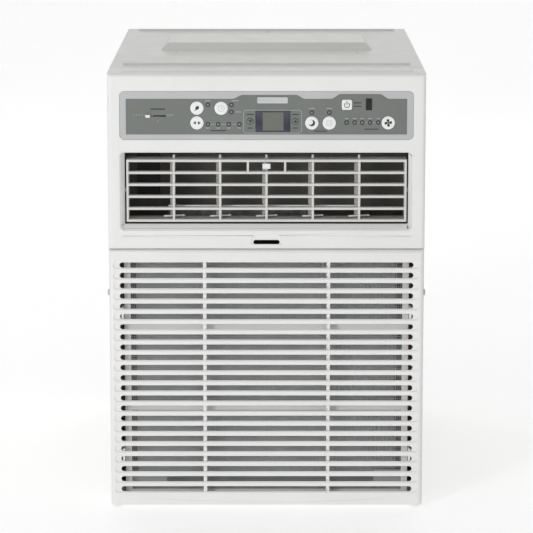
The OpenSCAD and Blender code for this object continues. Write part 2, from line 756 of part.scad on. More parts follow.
module intake_grille() {
    ribs = [-grille_rib_x, grille_rib_x];
    end_x = slot_half_w - slot_h / 2;
    smile_r = 2170;
    color("whitesmoke") difference() {
        union() {
            difference() {
                round_front_block(grille_half_w, 0, grille_depth, grille_z0, grille_z1, edge_r);
                slab(-grille_half_w + wall_t, grille_half_w - wall_t, wall_t,
                     grille_depth + through, grille_z0 - through, grille_z1 - wall_t);
            }
            // bottom wall, clear of the hinge ears
            slab(-ear_x0 + 2, ear_x0 - 2, 1, grille_depth, grille_z0, grille_z0 + wall_t);
            // upright ribs behind the bars
            for (x = ribs)
                slab(x - grille_rib_t / 2, x + grille_rib_t / 2, 1, 9,
                     slot_z(slot_count - 1) - 6, slot_z(0) + 6);
            // clips that carry the filter frame
            for (s = [-1, 1], z = [60, slot_z(5)])
                slab(s > 0 ? filter_half_w + 0.3 : -filter_half_w - 2.8,
                     s > 0 ? filter_half_w + 2.8 : -filter_half_w - 0.3,
                     wall_t - 0.5, filter_d + filter_t, z - 10, z + 10);
            // finger tabs
            for (s = [-1, 1])
                slab(s > 0 ? grille_half_w - 1 : -grille_half_w - tab_out,
                     s > 0 ? grille_half_w + tab_out : -grille_half_w + 1,
                     5, grille_depth - 2, tab_z - 3, tab_z + 3);
        }
        for (i = [0:slot_count - 1]) {
            z = slot_z(i);
            level_slot(-slot_half_w - groove_run, slot_half_w + groove_run, -through,
                       groove_t, z, groove_h);
            for (s = [-1, 1]) {
                along_y(s * end_x, -through, wall_t + through, z, slot_h / 2);
                slab(s > 0 ? grille_rib_x + grille_rib_t / 2 : -end_x,
                     s > 0 ? end_x : -grille_rib_x - grille_rib_t / 2,
                     -through, wall_t + through, z - slot_h / 2, z + slot_h / 2);
            }
            slab(-grille_rib_x + grille_rib_t / 2, grille_rib_x - grille_rib_t / 2, -through,
                 wall_t + through, z - slot_h / 2, z + slot_h / 2);
        }
        // hinge bores in the side flanges
        for (s = [-1, 1])
            along_x(s > 0 ? grille_half_w - wall_t - 1 : -grille_half_w - 1,
                    s > 0 ? grille_half_w + 1 : -grille_half_w + wall_t + 1,
                    hinge_d, hinge_z, hinge_r + pin_gap);
        // shallow curved line across the lip
        intersection() {
            difference() {
                along_y(4, -through, 0.4, grille_z0 + 3.4 + smile_r, smile_r + 0.4);
                along_y(4, -2 * through, through, grille_z0 + 3.4 + smile_r, smile_r - 0.4);
            }
            slab(-130, 140, -through, 0.4, grille_z0 + 2, grille_z0 + 9);
        }
    }
}

module hinge_pins() {
    color("silver") for (s = [-1, 1])
        along_x(s > 0 ? ear_x0 : -grille_half_w + 0.4, s > 0 ? grille_half_w - 0.4 : -ear_x0,
                hinge_d, hinge_z, hinge_r);
}

module filter_frame() {
    low = 10;
    high = seam_z - 6;
    color("white") difference() {
        slab(-filter_half_w, filter_half_w, filter_d, filter_d + filter_t, low, high);
        cross = [low + rail_w, slot_z(14) - 5.5, slot_z(14) + 2.5, slot_z(6) - 7.3,
                 slot_z(6) + 0.7, high - rail_w];
        for (i = [0, 2, 4])
            slab(-filter_half_w + rail_w, filter_half_w - rail_w, filter_d - through,
                 filter_d + filter_t + through, cross[i], cross[i + 1]);
        mesh_pocket(0);
    }
}

// The pocket that the mesh lies in, at the middle of the frame's thickness.
module mesh_pocket(gap) {
    slab(-filter_half_w + 2 + gap, filter_half_w - 2 - gap, filter_d + 2 + gap,
         filter_d + 3 - gap, 12 + gap, seam_z - 8 - gap);
}

module filter_mesh() {
    color([0.35, 0.36, 0.38]) mesh_pocket(0);
}

// ---- chassis ----

module base_pan() {
    color("gainsboro") difference() {
        union() {
            difference() {
                slab(-pan_half_w, pan_half_w, pan_d0, pan_d1, 0, pan_h);
                slab(-pan_half_w + pan_t, pan_half_w - pan_t, pan_d0 + pan_t, pan_d1 - pan_t,
                     pan_t, pan_h + through);
            }
            // drain spigot at the rear
            along_y(drain_x, pan_d1 - pan_t, unit_d - 0.5, drain_z, drain_r + 2);
            // cleats that the cabinet is screwed to
            for (s = [-1, 1])
                slab(s > 0 ? pan_half_w - 0.5 : -tongue_x, s > 0 ? tongue_x : 0.5 - pan_half_w,
                     pan_screw[0] - 15, pan_screw[0] + 15, pan_screw[1] - 8, pan_screw[1] + 8);
        }
        along_y(drain_x, pan_d1 - pan_t - through, unit_d, drain_z, drain_r);
        along_x(-half_w, half_w, pan_screw[0], pan_screw[1], screw_r);
    }
}

// The raised wedge in the cabinet top, lowered by a drop.
module wedge(drop) {
    x0 = wedge_half_w;
    x1 = wedge_half_w - 7;
    x2 = wedge_half_w - wedge_h;
    y0 = front_y + wedge_front_d;
    y1 = y0 + wedge_len;
    y2 = y0 + wedge_h;
    z = cabinet_h - drop;
    sink = sheet_t + 0.5;
    polyhedron(
        points = [[-x0, y0, z - sink], [x0, y0, z - sink], [x1, y1, z - sink], [-x1, y1, z - sink],
                  [-x0, y0, z], [x0, y0, z], [x1, y1, z], [-x1, y1, z],
                  [-x2, y2, z + wedge_h], [x2, y2, z + wedge_h]],
        faces = [[0, 1, 2, 3], [4, 5, 1, 0], [5, 6, 2, 1], [6, 7, 3, 2], [7, 4, 0, 3],
                 [8, 9, 5, 4], [9, 6, 5], [8, 4, 7], [9, 8, 7, 6]]);
}

module cabinet_shell() {
    color("whitesmoke") difference() {
        union() {
            slab(-half_w, half_w, cabinet_d0, cabinet_d1, cabinet_z0, cabinet_h);
            wedge(0);
            panel_ridge(94, cabinet_h);
            panel_ridge(unit_d - 25, cabinet_h);
        }
        slab(-half_w + sheet_t, half_w - sheet_t, cabinet_d0 - through,
             cabinet_d1 + through, cabinet_z0 - through, cabinet_h - sheet_t);
        wedge(sheet_t);
        for (s = [-1, 1])
            along_z(s * top_hole_spacing / 2, wedge_front_d - 35, cabinet_h - 5,
                    cabinet_h + 5, top_hole_r);
        along_z(2, unit_d - 42, cabinet_h - 5, cabinet_h + 5, top_hole_r);
        // air slots in both sides, beside the compressor and the fan
        for (d = [290, 345], z = [110:15:425])
            slab(-half_w - through, half_w + through, d, d + 45, z, z + 5);
        for (p = screws) along_x(-half_w - through, half_w + through, p[0], p[1], screw_r);
        along_x(half_w - 5, half_w + 5, gland_d, gland_z, 7);
        for (z = side_hole_z)
            along_x(-half_w - through, half_w + through, side_hole_d, z, side_hole_r);
    }
}

module cabinet_screws() {
    head_r = 3.5;
    color("silver") for (s = [-1, 1], p = screws) {
        along_x(s > 0 ? half_w : -half_w - 1, s > 0 ? half_w + 1 : -half_w, p[0], p[1], head_r);
        along_x(s > 0 ? half_w - 4 : -half_w - 0.5, s > 0 ? half_w + 0.5 : -half_w + 4,
                p[0], p[1], screw_r);
    }
}

module rear_guard() {
    d0 = unit_d - guard_t;
    frame = 9;
    bars = 3;
    low = pan_h + 4;
    field = (2 * half_w - 2 * frame - 2 * bars) / 3;
    rows = floor((cabinet_h - low - 2 * frame) / 14);
    color("gainsboro") difference() {
        slab(-half_w, half_w, d0, unit_d, low, cabinet_h);
        for (c = [0:2], i = [0:rows - 1]) {
            x = -half_w + frame + c * (field + bars);
            z = low + frame + 14 * i;
            slab(x, x + field, d0 - through, unit_d + through, z, z + 10);
        }
    }
}

// The exhaust opening, cut through a wall between two depths.
module damper_window(d0, d1)
    slab(damper_x0 + 3, damper_x1 - 3, d0 - through, d1 + through, damper_z0 + 2,
         damper_hinge_z - 5);

module bulkhead() {
    d0 = bulkhead_d;
    d1 = bulkhead_d + bulkhead_t;
    color("silver") difference() {
        union() {
            slab(-bulkhead_half_w, bulkhead_half_w, d0, d1, pan_t, cabinet_h - 6);
            slab(-pan_half_w + pan_t + 1, pan_half_w - pan_t - 1, d0, d1 + 12, pan_t, 2 * pan_t);
            for (x = [damper_x0 - 3, damper_x1 + 0.5])
                slab(x, x + 2.5, d1 - 0.5, d1 + 5, damper_hinge_z - 2.5, damper_hinge_z + 2.5);
        }
        along_y(0, d0 - through, d1 + through, shaft_z, 30);
        damper_window(d0, d1);
        along_x(damper_x0 - 4, damper_x1 + 4, damper_hinge_d, damper_hinge_z, 1 + pin_gap);
        along_y(line_x, d0 - through, d1 + through, suction_z, suction_r + 0.5);
        along_y(capillary_x, d0 - through, d1 + through, liquid_z, capillary_r + 1);
    }
}

module exhaust_damper() {
    color("dimgray") union() {
        slab(damper_x0, damper_x1, damper_hinge_d - 1.7, damper_hinge_d - 0.2,
             damper_z0, damper_hinge_z);
        along_x(damper_x0, damper_x1, damper_hinge_d, damper_hinge_z, 1.7);
        along_x(damper_x0 - 3, damper_x1 + 3, damper_hinge_d, damper_hinge_z, 1);
    }
}

module drip_tray() {
    hw = tray_half_w;
    d0 = evap_d - 6;
    d1 = evap_d + fin_t + 6;
    wall = 2;
    top = 23.5;
    color("lightgray") union() {
        difference() {
            slab(-hw, hw, d0, d1, tray_z0, top);
            slab(-hw + wall, hw - wall, d0 + wall, d1 - wall, tray_z0 + wall, top + through);
        }
        // higher splash guards at both front corners
        slab(-hw + 5, -118, d0, d0 + wall, top - 3, 33);
        slab(127, hw - 5, d0, d0 + wall, top - 3, 38.5);
        // feet on the base pan
        for (x = [-150, 146]) slab(x, x + 4, d0 + 4, d1 - 4, pan_t, tray_z0 + eps);
    }
}

// ---- coils ----

// A fin pack drilled for its tubes.
module fin_pack(hw, d, z0, h, zs) {
    difference() {
        slab(-hw, hw, d, d + fin_t, z0, z0 + h);
        for (z = zs) along_x(-hw - through, hw + through, d + fin_t / 2, z, tube_r);
    }
}

module end_plates(hw, d, z0, z1, zs) {
    for (s = [-1, 1]) difference() {
        slab(s > 0 ? hw : -hw - end_plate_t, s > 0 ? hw + end_plate_t : -hw, d - 1,
             d + fin_t + 1, z0, z1);
        for (z = zs)
            along_x(s > 0 ? hw - 1 : -hw - 3, s > 0 ? hw + 3 : -hw + 1, d + fin_t / 2, z,
                    tube_r);
    }
}

// Straight tubes joined into one path by return bends. Both open ends are on the right.
module tube_row(hw, d, zs) {
    reach = hw + tube_reach;
    for (z = zs) along_x(-reach, reach, d, z, tube_r);
    for (i = [0:len(zs) - 2])
        return_bend(i % 2 == 0 ? -reach : reach, d, zs[i] + bend_r, i % 2 == 0 ? -1 : 1,
                    tube_r);
}

module evap_fins() {
    color([0.5, 0.5, 0.49]) fin_pack(evap_half_w, evap_d, evap_z0, evap_h, evap_zs);
}

module evap_tubes() {
    color("chocolate") tube_row(evap_half_w, evap_row_d, evap_zs);
}

module evap_end_plates() {
    color("silver") end_plates(evap_half_w, evap_d, tray_z0 + 2, evap_z0 + evap_h, evap_zs);
}

module cond_fins() {
    color([0.6, 0.6, 0.6]) fin_pack(cond_half_w, cond_d, cond_z0, cond_h, cond_zs);
}

module cond_tubes() {
    color("chocolate") tube_row(cond_half_w, cond_row_d, cond_zs);
}

module cond_end_plates() {
    color("silver") end_plates(cond_half_w, cond_d, pan_t, cond_z0 + cond_h, cond_zs);
}

// ---- blower, motor and fan ----

function scroll_point(t, grow) = let (
    a = scroll_a0 - scroll_sweep * t,
    r = scroll_r0 + (scroll_r1 - scroll_r0) * t + grow)
    [r * cos(a), shaft_z + r * sin(a)];

module scroll_outline(points, d0, d1)
    translate([0, front_y + d1, 0]) rotate([90, 0, 0]) linear_extrude(d1 - d0) polygon(points);

module blower_housing() {
    inner = [for (i = [0:scroll_steps]) scroll_point(i / scroll_steps, 0)];
    outer = [for (i = [0:scroll_steps]) scroll_point(i / scroll_steps, scroll_t)];
    left = -scroll_r1;
    right = scroll_mouth_x;
    color([0.2, 0.2, 0.2]) union() {
        difference() {
            scroll_outline(concat(outer, [[left - scroll_t, duct_z0],
                                          [right + scroll_t, duct_z0]]),
                           housing_d0, bulkhead_d);
            scroll_outline(concat(inner, [[left, duct_z0 + 5], [right, duct_z0 + 5]]),
                           housing_d0 + scroll_t, bulkhead_d + through);
            along_y(0, housing_d0 - through, housing_d0 + scroll_t + through, shaft_z,
                    wheel_r - 13);
        }
    }
}

module blower_wheel() {
    color("dimgray") difference() {
        union() {
            along_y(0, wheel_d1 - 2, wheel_d1, shaft_z, wheel_r);
            along_y(0, wheel_d1 - 24, wheel_d1 - 1, shaft_z, 14);
            difference() {
                along_y(0, wheel_d0, wheel_d0 + 3, shaft_z, wheel_r);
                along_y(0, wheel_d0 - 1, wheel_d0 + 4, shaft_z, wheel_r - 15);
            }
            for (i = [0:blower_blades - 1])
                translate([0, front_y, shaft_z]) rotate([0, i * 360 / blower_blades, 0])
                    translate([wheel_r - 7.5, wheel_d0 + 1, 0]) rotate([0, 28, 0])
                        translate([-6, 0, -0.6]) cube([12, wheel_d1 - wheel_d0 - 2, 1.2]);
        }
        along_y(0, wheel_d0, wheel_d1 + 1, shaft_z, shaft_r);
    }
}

module fan_motor() {
    color([0.3, 0.3, 0.32]) difference() {
        union() {
            along_y(0, motor_d0, motor_d1, shaft_z, motor_r);
            along_y(0, motor_d0 - 7, motor_d1 + 7, shaft_z, 16);
        }
        along_y(0, motor_d0 - 8, motor_d1 + 8, shaft_z, shaft_r + pin_gap);
    }
}

module motor_bracket() {
    d0 = motor_d0 + 35;
    color("silver") difference() {
        union() {
            along_y(0, d0, d0 + 3, shaft_z, motor_r + 5);
            slab(-motor_r - 4, motor_r + 4, d0, d0 + 3, pan_t, shaft_z);
            slab(-motor_r - 4, motor_r + 4, d0, d0 + 30, pan_t, pan_t + 3);
        }
        along_y(0, d0 - 1, d0 + 4, shaft_z, motor_r);
        slab(-motor_r + 12, motor_r - 12, d0 - 1, d0 + 4, 40, shaft_z - motor_r - 25);
    }
}

module motor_shaft() {
    color("silver") along_y(0, wheel_d0 + 20, fan_d1 + 3, shaft_z, shaft_r);
}

module axial_fan() {
    mid = (fan_d0 + fan_d1) / 2;
    color("dimgray") difference() {
        union() {
            along_y(0, fan_d0, fan_d1, shaft_z, 24);
            difference() {
                along_y(0, mid - 6, mid + 6, shaft_z, fan_r);
                along_y(0, mid - 7, mid + 7, shaft_z, fan_r - 4);
            }
            intersection() {
                along_y(0, fan_d0 - 2, fan_d1 + 2, shaft_z, fan_r - 2);
                for (i = [0:fan_blades - 1])
                    translate([0, front_y + mid, shaft_z]) rotate([0, i * 360 / fan_blades, 0])
                        rotate([26, 0, 0]) translate([18, -1.2, -31]) cube([fan_r, 2.4, 62]);
            }
        }
        along_y(0, fan_d0 - 3, fan_d1 + 3, shaft_z, shaft_r);
    }
}

module fan_shroud() {
    top = cond_z0 + cond_h;
    hw = shroud_half_w;
    color("gainsboro") union() {
        difference() {
            slab(-hw, hw, shroud_d, cond_d - 2, pan_t, top);
            slab(-hw + shroud_t, hw - shroud_t, shroud_d + shroud_t, cond_d, -1,
                 top - shroud_t);
            along_y(0, shroud_d - 1, shroud_d + 5, shaft_z, shroud_ring_r);
        }
        difference() {
            along_y(0, shroud_d - 14, shroud_d + eps, shaft_z, shroud_ring_r + 1.5);
            along_y(0, shroud_d - 15, shroud_d + 1, shaft_z, shroud_ring_r);
        }
    }
}

// ---- compressor and refrigerant lines ----

module compressor() {
    color([0.13, 0.13, 0.14]) union() {
        translate([comp_x, front_y + comp_d, comp_z0]) rotate_extrude()
            polygon(concat([[0, 0], [comp_r - 6, 0], [comp_r, 6]],
                           arc(comp_r - 26, comp_h - 26, 26, 0, 90, 5), [[0, comp_h]]));
        along_z(comp_x, comp_d, comp_z0 + comp_h * 0.55, comp_z0 + comp_h * 0.55 + 4,
                comp_r + 1.5);
        for (p = [suction_stub, discharge_stub])
            along_z(p[0], p[1], comp_top - 15, stub_top, stub_r);
        difference() {
            along_z(comp_x, comp_d, comp_z0 - 3, comp_z0 + 1, comp_r + 6);
            for (a = foot_angles) foot_at(a) cylinder(r = 3.2, h = 40);
        }
    }
}

module foot_at(a)
    translate([comp_x + (comp_r - 0.5) * cos(a), front_y + comp_d + (comp_r - 0.5) * sin(a),
               pan_t]) children();

module comp_grommets() {
    color("black") for (a = foot_angles) foot_at(a) difference() {
        cylinder(r = 8, h = comp_z0 - 3 - pan_t);
        translate([0, 0, -1]) cylinder(r = 3.2, h = 30);
    }
}

module comp_studs() {
    color("silver") for (a = foot_angles) foot_at(a) cylinder(r = 3.2, h = comp_z0 - 3 - pan_t + 3);
}

module terminal_cover() {
    color("black") difference() {
        along_z(comp_x, comp_d, comp_top, comp_top + 18, 10);
        along_z(comp_x, comp_d, comp_top - 1, comp_top + 15, 8);
    }
}

module suction_line() {
    d = suction_stub[1];
    color("chocolate") tube_run([
        [evap_half_w + tube_reach, evap_row_d, suction_z], [line_x, evap_row_d, suction_z],
        [line_x, d, suction_z], [suction_stub[0], d, suction_z],
        [suction_stub[0], d, stub_top]], suction_r);
}

// Over the shroud, then down into the condenser's top tube.
module discharge_line() {
    x = half_w - 8;
    d = discharge_stub[1];
    z1 = cond_zs[cond_tubes_n - 1];
    z0 = z1 + 15;
    color("chocolate") tube_run([
        [discharge_stub[0], d, stub_top], [discharge_stub[0], d, z0], [x, d, z0],
        [x, cond_row_d, z0], [x, cond_row_d, z1], [cond_half_w + tube_reach, cond_row_d, z1]],
        line_r);
}

// From the condenser's bottom tube to the drier, then a capillary to the evaporator.
module liquid_line() {
    x = capillary_x;
    z = liquid_z;
    drier_d = comp_d + comp_r + 14;
    drier_len = 62;
    drier_r = 8;
    color("chocolate") union() {
        tube_run([[cond_half_w + tube_reach, cond_row_d, z], [x, cond_row_d, z],
                  [x, drier_d + drier_len - 2, z]], line_r);
        along_y(x, drier_d, drier_d + drier_len, z, drier_r);
        tube_run([[x, drier_d + 2, z], [x, evap_row_d, z], [x, evap_row_d, evap_zs[0]],
                  [evap_half_w + tube_reach, evap_row_d, evap_zs[0]]], capillary_r);
    }
}

module control_box() {
    color("gainsboro") difference() {
        slab(30, 168, 64, 150, outlet_z1 + throat_t, cabinet_h - 14);
        slab(31.2, 166.8, 65.2, 148.8, outlet_z1 + throat_t + 1.2, cabinet_h);
    }
}

module capacitor() {
    color("silver") along_y(70, 76, 138, outlet_z1 + throat_t + 1.2 + 17, 17);
}

module cord_gland() {
    color("dimgray") difference() {
        union() {
            along_x(half_w - 6, half_w + 0.5, gland_d, gland_z, 7);
            along_x(half_w, half_w + 1.2, gland_d, gland_z, 9);
        }
        along_x(half_w - 8, half_w + 3, gland_d, gland_z, 3.6);
    }
}

front_panel();
control_trim();
control_label();
name_plate();
display_window();
receiver_window();
indicator_lenses();
control_board();
round_button(big_buttons[0], button_r);  // button_energy
round_button(big_buttons[1], button_r);  // button_mode
round_button(big_buttons[2], button_r);  // button_timer
round_button(big_buttons[3], button_r);  // button_sleep
round_button(big_buttons[4], button_r);  // button_filter
round_button(big_buttons[5], button_r);  // button_fan
round_button(small_buttons[0], small_button_r);  // button_temp_up
round_button(small_buttons[1], small_button_r);  // button_temp_down
button_power();
exhaust_lever();
exhaust_damper();
louver_frame();
vane(1);  // vane_1
vane(2);  // vane_2
vane(3);  // vane_3
vane(4);  // vane_4
vane(5);  // vane_5
vane_link();
intake_grille();
hinge_pins();
filter_frame();
filter_mesh();
base_pan();
cabinet_shell();
cabinet_screws();
rear_guard();
bulkhead();
drip_tray();
evap_fins();
evap_tubes();
evap_end_plates();
outlet_duct();
blower_housing();
blower_wheel();
fan_motor();
motor_bracket();
motor_shaft();
axial_fan();
fan_shroud();
cond_fins();
cond_tubes();
cond_end_plates();
compressor();
terminal_cover();
comp_grommets();
comp_studs();
suction_line();
discharge_line();
liquid_line();
control_box();
capacitor();
cord_gland();
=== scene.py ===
import json
import math

import bmesh
import bpy
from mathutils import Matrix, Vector

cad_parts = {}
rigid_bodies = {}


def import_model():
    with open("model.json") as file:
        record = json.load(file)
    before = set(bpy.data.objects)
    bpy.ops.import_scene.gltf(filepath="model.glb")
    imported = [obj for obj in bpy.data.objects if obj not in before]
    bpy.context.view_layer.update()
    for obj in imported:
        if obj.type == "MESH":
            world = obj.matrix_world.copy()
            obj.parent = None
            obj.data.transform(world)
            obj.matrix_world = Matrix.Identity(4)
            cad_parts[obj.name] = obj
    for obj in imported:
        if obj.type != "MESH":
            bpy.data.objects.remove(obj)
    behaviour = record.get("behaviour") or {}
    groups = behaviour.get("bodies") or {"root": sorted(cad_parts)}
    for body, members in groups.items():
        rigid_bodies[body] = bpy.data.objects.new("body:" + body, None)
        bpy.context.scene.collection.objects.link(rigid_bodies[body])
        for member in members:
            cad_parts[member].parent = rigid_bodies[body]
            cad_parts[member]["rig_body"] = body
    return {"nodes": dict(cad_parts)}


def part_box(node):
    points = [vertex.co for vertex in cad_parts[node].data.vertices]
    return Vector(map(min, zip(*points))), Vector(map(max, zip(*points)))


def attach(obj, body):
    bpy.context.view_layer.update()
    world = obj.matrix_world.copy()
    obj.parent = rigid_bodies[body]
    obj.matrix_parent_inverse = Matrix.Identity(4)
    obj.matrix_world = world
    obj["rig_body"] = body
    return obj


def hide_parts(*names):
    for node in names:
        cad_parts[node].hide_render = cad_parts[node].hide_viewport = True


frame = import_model()
bpy.context.view_layer.update()

scene = bpy.context.scene
MM = 0.001
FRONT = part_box("intake_grille")[0].y
CHASSIS = "chassis"


def point(x, depth, z):
    """A point from millimetres: across, behind the front face, above the base."""
    return Vector((x * MM, FRONT + depth * MM, z * MM))


def limits(node):
    """x0, x1, depth0, depth1, z0, z1 of a CAD node, in millimetres."""
    low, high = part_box(node)
    return (low.x / MM, high.x / MM, (low.y - FRONT) / MM, (high.y - FRONT) / MM,
            low.z / MM, high.z / MM)


# ---------------------------------------------------------------- materials

def linear(rgb):
    """Linear colour from 0-255 display values."""
    return tuple((c / 255 / 12.92) if c <= 10.3 else ((c / 255 + 0.055) / 1.055) ** 2.4
                 for c in rgb) + (1.0,)


class Finish:
    """A Principled material whose colour, roughness and bump come from nodes."""

    def __init__(self, name, rgb, rough=0.45, metal=0.0, coat=0.0, specular=0.5):
        self.material = bpy.data.materials.new(name)
        self.material.use_nodes = True
        self.tree = self.material.node_tree
        self.shader = self.tree.nodes["Principled BSDF"]
        self.shader.inputs["Metallic"].default_value = metal
        self.shader.inputs["Specular IOR Level"].default_value = specular
        if coat:
            self.shader.inputs["Coat Weight"].default_value = coat
            self.shader.inputs["Coat Roughness"].default_value = 0.12
        self.rgb = rgb
        self.rough = rough
        self.shader.inputs["Base Color"].default_value = linear(rgb)
        self.shader.inputs["Roughness"].default_value = rough
        self.space = self.tree.nodes.new("ShaderNodeTexCoord").outputs["Object"]
        self.normal = None

    def stretched(self, scale):
        """Object coordinates scaled by (x, y, z)."""
        mapping = self.tree.nodes.new("ShaderNodeMapping")
        mapping.inputs["Scale"].default_value = scale
        self.tree.links.new(self.space, mapping.inputs["Vector"])
        return mapping.outputs["Vector"]

    def noise(self, scale, detail=2.0, stretch=None, distortion=0.0):
        node = self.tree.nodes.new("ShaderNodeTexNoise")
        node.inputs["Scale"].default_value = scale
        node.inputs["Detail"].default_value = detail
        node.inputs["Distortion"].default_value = distortion
        self.tree.links.new(self.stretched(stretch) if stretch else self.space,
                            node.inputs["Vector"])
        return node.outputs["Fac"]

    def cells(self, scale, output="Color", stretch=None):
        node = self.tree.nodes.new("ShaderNodeTexVoronoi")
        node.inputs["Scale"].default_value = scale
        self.tree.links.new(self.stretched(stretch) if stretch else self.space,
                            node.inputs["Vector"])
        return node.outputs[output]

    def ramp(self, value, stops):
        """Colour ramp over value; stops are (position, display rgb)."""
        node = self.tree.nodes.new("ShaderNodeValToRGB")
        elements = node.color_ramp.elements
        while len(elements) < len(stops):
            elements.new(0.5)
        for element, (position, rgb) in zip(elements, stops):
            element.position = position
            element.color = linear(rgb)
        self.tree.links.new(value, node.inputs["Fac"])
        return node.outputs["Color"]

    def span(self, value, low, high, from_low=0.3, from_high=0.7):
        node = self.tree.nodes.new("ShaderNodeMapRange")
        for name, number in (("From Min", from_low), ("From Max", from_high),
                             ("To Min", low), ("To Max", high)):
            node.inputs[name].default_value = number
        self.tree.links.new(value, node.inputs["Value"])
        return node.outputs["Result"]

    def mottle(self, scale, amount, detail=3.0, stretch=None):
        """Colour that drifts by amount display levels either way."""
        low = [max(0, c - amount) for c in self.rgb]
        high = [min(255, c + amount) for c in self.rgb]
        colour = self.ramp(self.noise(scale, detail, stretch), [(0.3, low), (0.7, high)])
        self.tree.links.new(colour, self.shader.inputs["Base Color"])
        return self

    def color(self, output):
        self.tree.links.new(output, self.shader.inputs["Base Color"])
        return self

    def roughness(self, scale, amount, detail=3.0, stretch=None):
        value = self.span(self.noise(scale, detail, stretch), max(0.02, self.rough - amount),
                          min(1.0, self.rough + amount))
        self.tree.links.new(value, self.shader.inputs["Roughness"])
        return self

    def bump(self, value, height_mm, strength=1.0):
        node = self.tree.nodes.new("ShaderNodeBump")
        node.inputs["Strength"].default_value = strength
        node.inputs["Distance"].default_value = height_mm * MM
        self.tree.links.new(value, node.inputs["Height"])
        if self.normal:
            self.tree.links.new(self.normal, node.inputs["Normal"])
        self.normal = node.outputs["Normal"]
        self.tree.links.new(self.normal, self.shader.inputs["Normal"])
        return self


def moulded(name, rgb, rough=0.4, texture=0.012, drift=2):
    """Moulded plastic: faint flow marks, a spark-eroded grain and uneven gloss."""
    f = Finish(name, rgb, rough)
    f.mottle(14, drift).roughness(60, 0.07)
    f.bump(f.noise(2600, 2.0), texture).bump(f.noise(90, 2.0), texture * 2.5)
    return f


def sheet_steel(name, rgb, rough=0.38):
    """Powder-coated sheet: orange peel over slight ripples of the sheet."""
    f = Finish(name, rgb, rough, coat=0.15)
    f.mottle(9, 2).roughness(35, 0.06)
    f.bump(f.noise(900, 3.0), 0.02).bump(f.noise(14, 1.0), 0.12)
    return f


def spangled(name, rgb):
    """Hot-dip galvanised sheet with its crystal spangle."""
    f = Finish(name, rgb, 0.42, metal=0.85)
    dim = [c - 26 for c in rgb]
    f.color(f.ramp(f.cells(130), [(0.2, dim), (0.8, rgb)]))
    f.roughness(70, 0.12).bump(f.cells(130, "Distance"), 0.02)
    return f


def copper(name):
    f = Finish(name, (200, 122, 82), 0.34, metal=1.0)
    f.color(f.ramp(f.noise(55, 4.0), [(0.32, (120, 74, 52)), (0.5, (196, 118, 80)),
                                     (0.72, (222, 142, 98))]))
    f.roughness(120, 0.12).bump(f.noise(800, 2.0, (1, 1, 0.2)), 0.01)
    return f


def brushed(name, rgb, rough=0.32, along=(0.06, 1, 1), metal=1.0):
    f = Finish(name, rgb, rough, metal=metal)
    f.mottle(500, 10, 2.0, along).roughness(700, 0.1, 2.0, along)
    f.bump(f.noise(900, 2.0, along), 0.008)
    return f


def rubbery(name, rgb):
    f = Finish(name, rgb, 0.72, specular=0.3)
    f.mottle(60, 5).roughness(200, 0.08).bump(f.noise(1500, 2.0), 0.03)
    return f


def board_green(name):
    """Circuit board: solder mask with copper traces as a fine grid of lines."""
    f = Finish(name, (34, 92, 58), 0.3, coat=0.4)
    tracks = f.cells(260, "Distance", (1, 1, 0.35))
    f.color(f.ramp(tracks, [(0.0, (26, 74, 46)), (0.42, (36, 98, 62)), (0.5, (96, 140, 84)),
                            (0.56, (30, 84, 54))]))
    f.roughness(300, 0.06).bump(tracks, 0.03)
    return f


def finned(name, rgb):
    """Thin rolled aluminium, slightly oxidised."""
    f = Finish(name, rgb, 0.45, metal=0.1)
    f.mottle(40, 9).roughness(90, 0.1).bump(f.noise(700, 2.0, (1, 1, 0.1)), 0.01)
    return f


MATERIALS = {
    "white_plastic": moulded("white_abs", (233, 233, 231), 0.38),
    "white_parts": moulded("white_parts_abs", (234, 234, 233), 0.36),
    "silver_trim": moulded("silver_paint", (186, 188, 189), 0.42, 0.01, 3),
    "label_grey": moulded("label_film", (113, 117, 113), 0.45, 0.008, 2),
    "name_plate": brushed("plate_film", (196, 198, 200), 0.4, (0.05, 1, 1), 0.6),
    "display": moulded("display_tint", (50, 53, 70), 0.2, 0.003, 2),
    "dark_window": moulded("receiver_tint", (44, 42, 46), 0.25, 0.003, 2),
    "lens": moulded("lens_tint", (128, 128, 134), 0.28, 0.004, 3),
    "circuit_board": board_green("solder_mask"),
    "button": moulded("button_abs", (236, 236, 236), 0.34),
    "painted_steel": sheet_steel("powder_coat", (214, 214, 210)),
    "galvanised": spangled("galvanised_sheet", (176, 180, 182)),
    "steel": brushed("plated_steel", (188, 188, 186), 0.3, (1, 1, 0.15)),
    "aluminium_fins": finned("fin_stock", (238, 239, 240)),
    "copper": copper("copper_tube"),
    "tray_plastic": moulded("tray_ps", (186, 188, 188), 0.5, 0.02, 4),
    "black_plastic": moulded("black_abs", (46, 46, 46), 0.5, 0.02, 4),
    "dark_plastic": moulded("dark_pp", (58, 60, 62), 0.48, 0.02, 4),
    "motor_paint": sheet_steel("motor_enamel", (66, 70, 76), 0.35),
    "compressor_paint": sheet_steel("compressor_enamel", (30, 30, 32), 0.3),
    "rubber": rubbery("moulded_rubber", (34, 34, 34)),
    "filter_net": moulded("net_pp", (200, 202, 204), 0.5, 0.01, 4),
    "capacitor_can": brushed("drawn_aluminium", (184, 186, 188), 0.28, (1, 0.08, 1)),
}
MATERIALS = {slot: finish.material for slot, finish in MATERIALS.items()}
PRINT_DARK = moulded("print_dark", (40, 40, 42), 0.5, 0.002, 3).material
PRINT_LIGHT = moulded("print_light", (176, 180, 178), 0.5, 0.002, 3).material
PRINT_FAINT = moulded("print_faint", (196, 197, 198), 0.5, 0.002, 3).material
RING_NAVY = moulded("ring_navy", (42, 42, 58), 0.35, 0.002, 3).material
LOUVER_WHITE = moulded("louver_plastic", (212, 211, 208), 0.42, 0.008, 3).material
LCD_GREY = moulded("lcd_grey", (106, 108, 101), 0.55, 0.0, 2).material
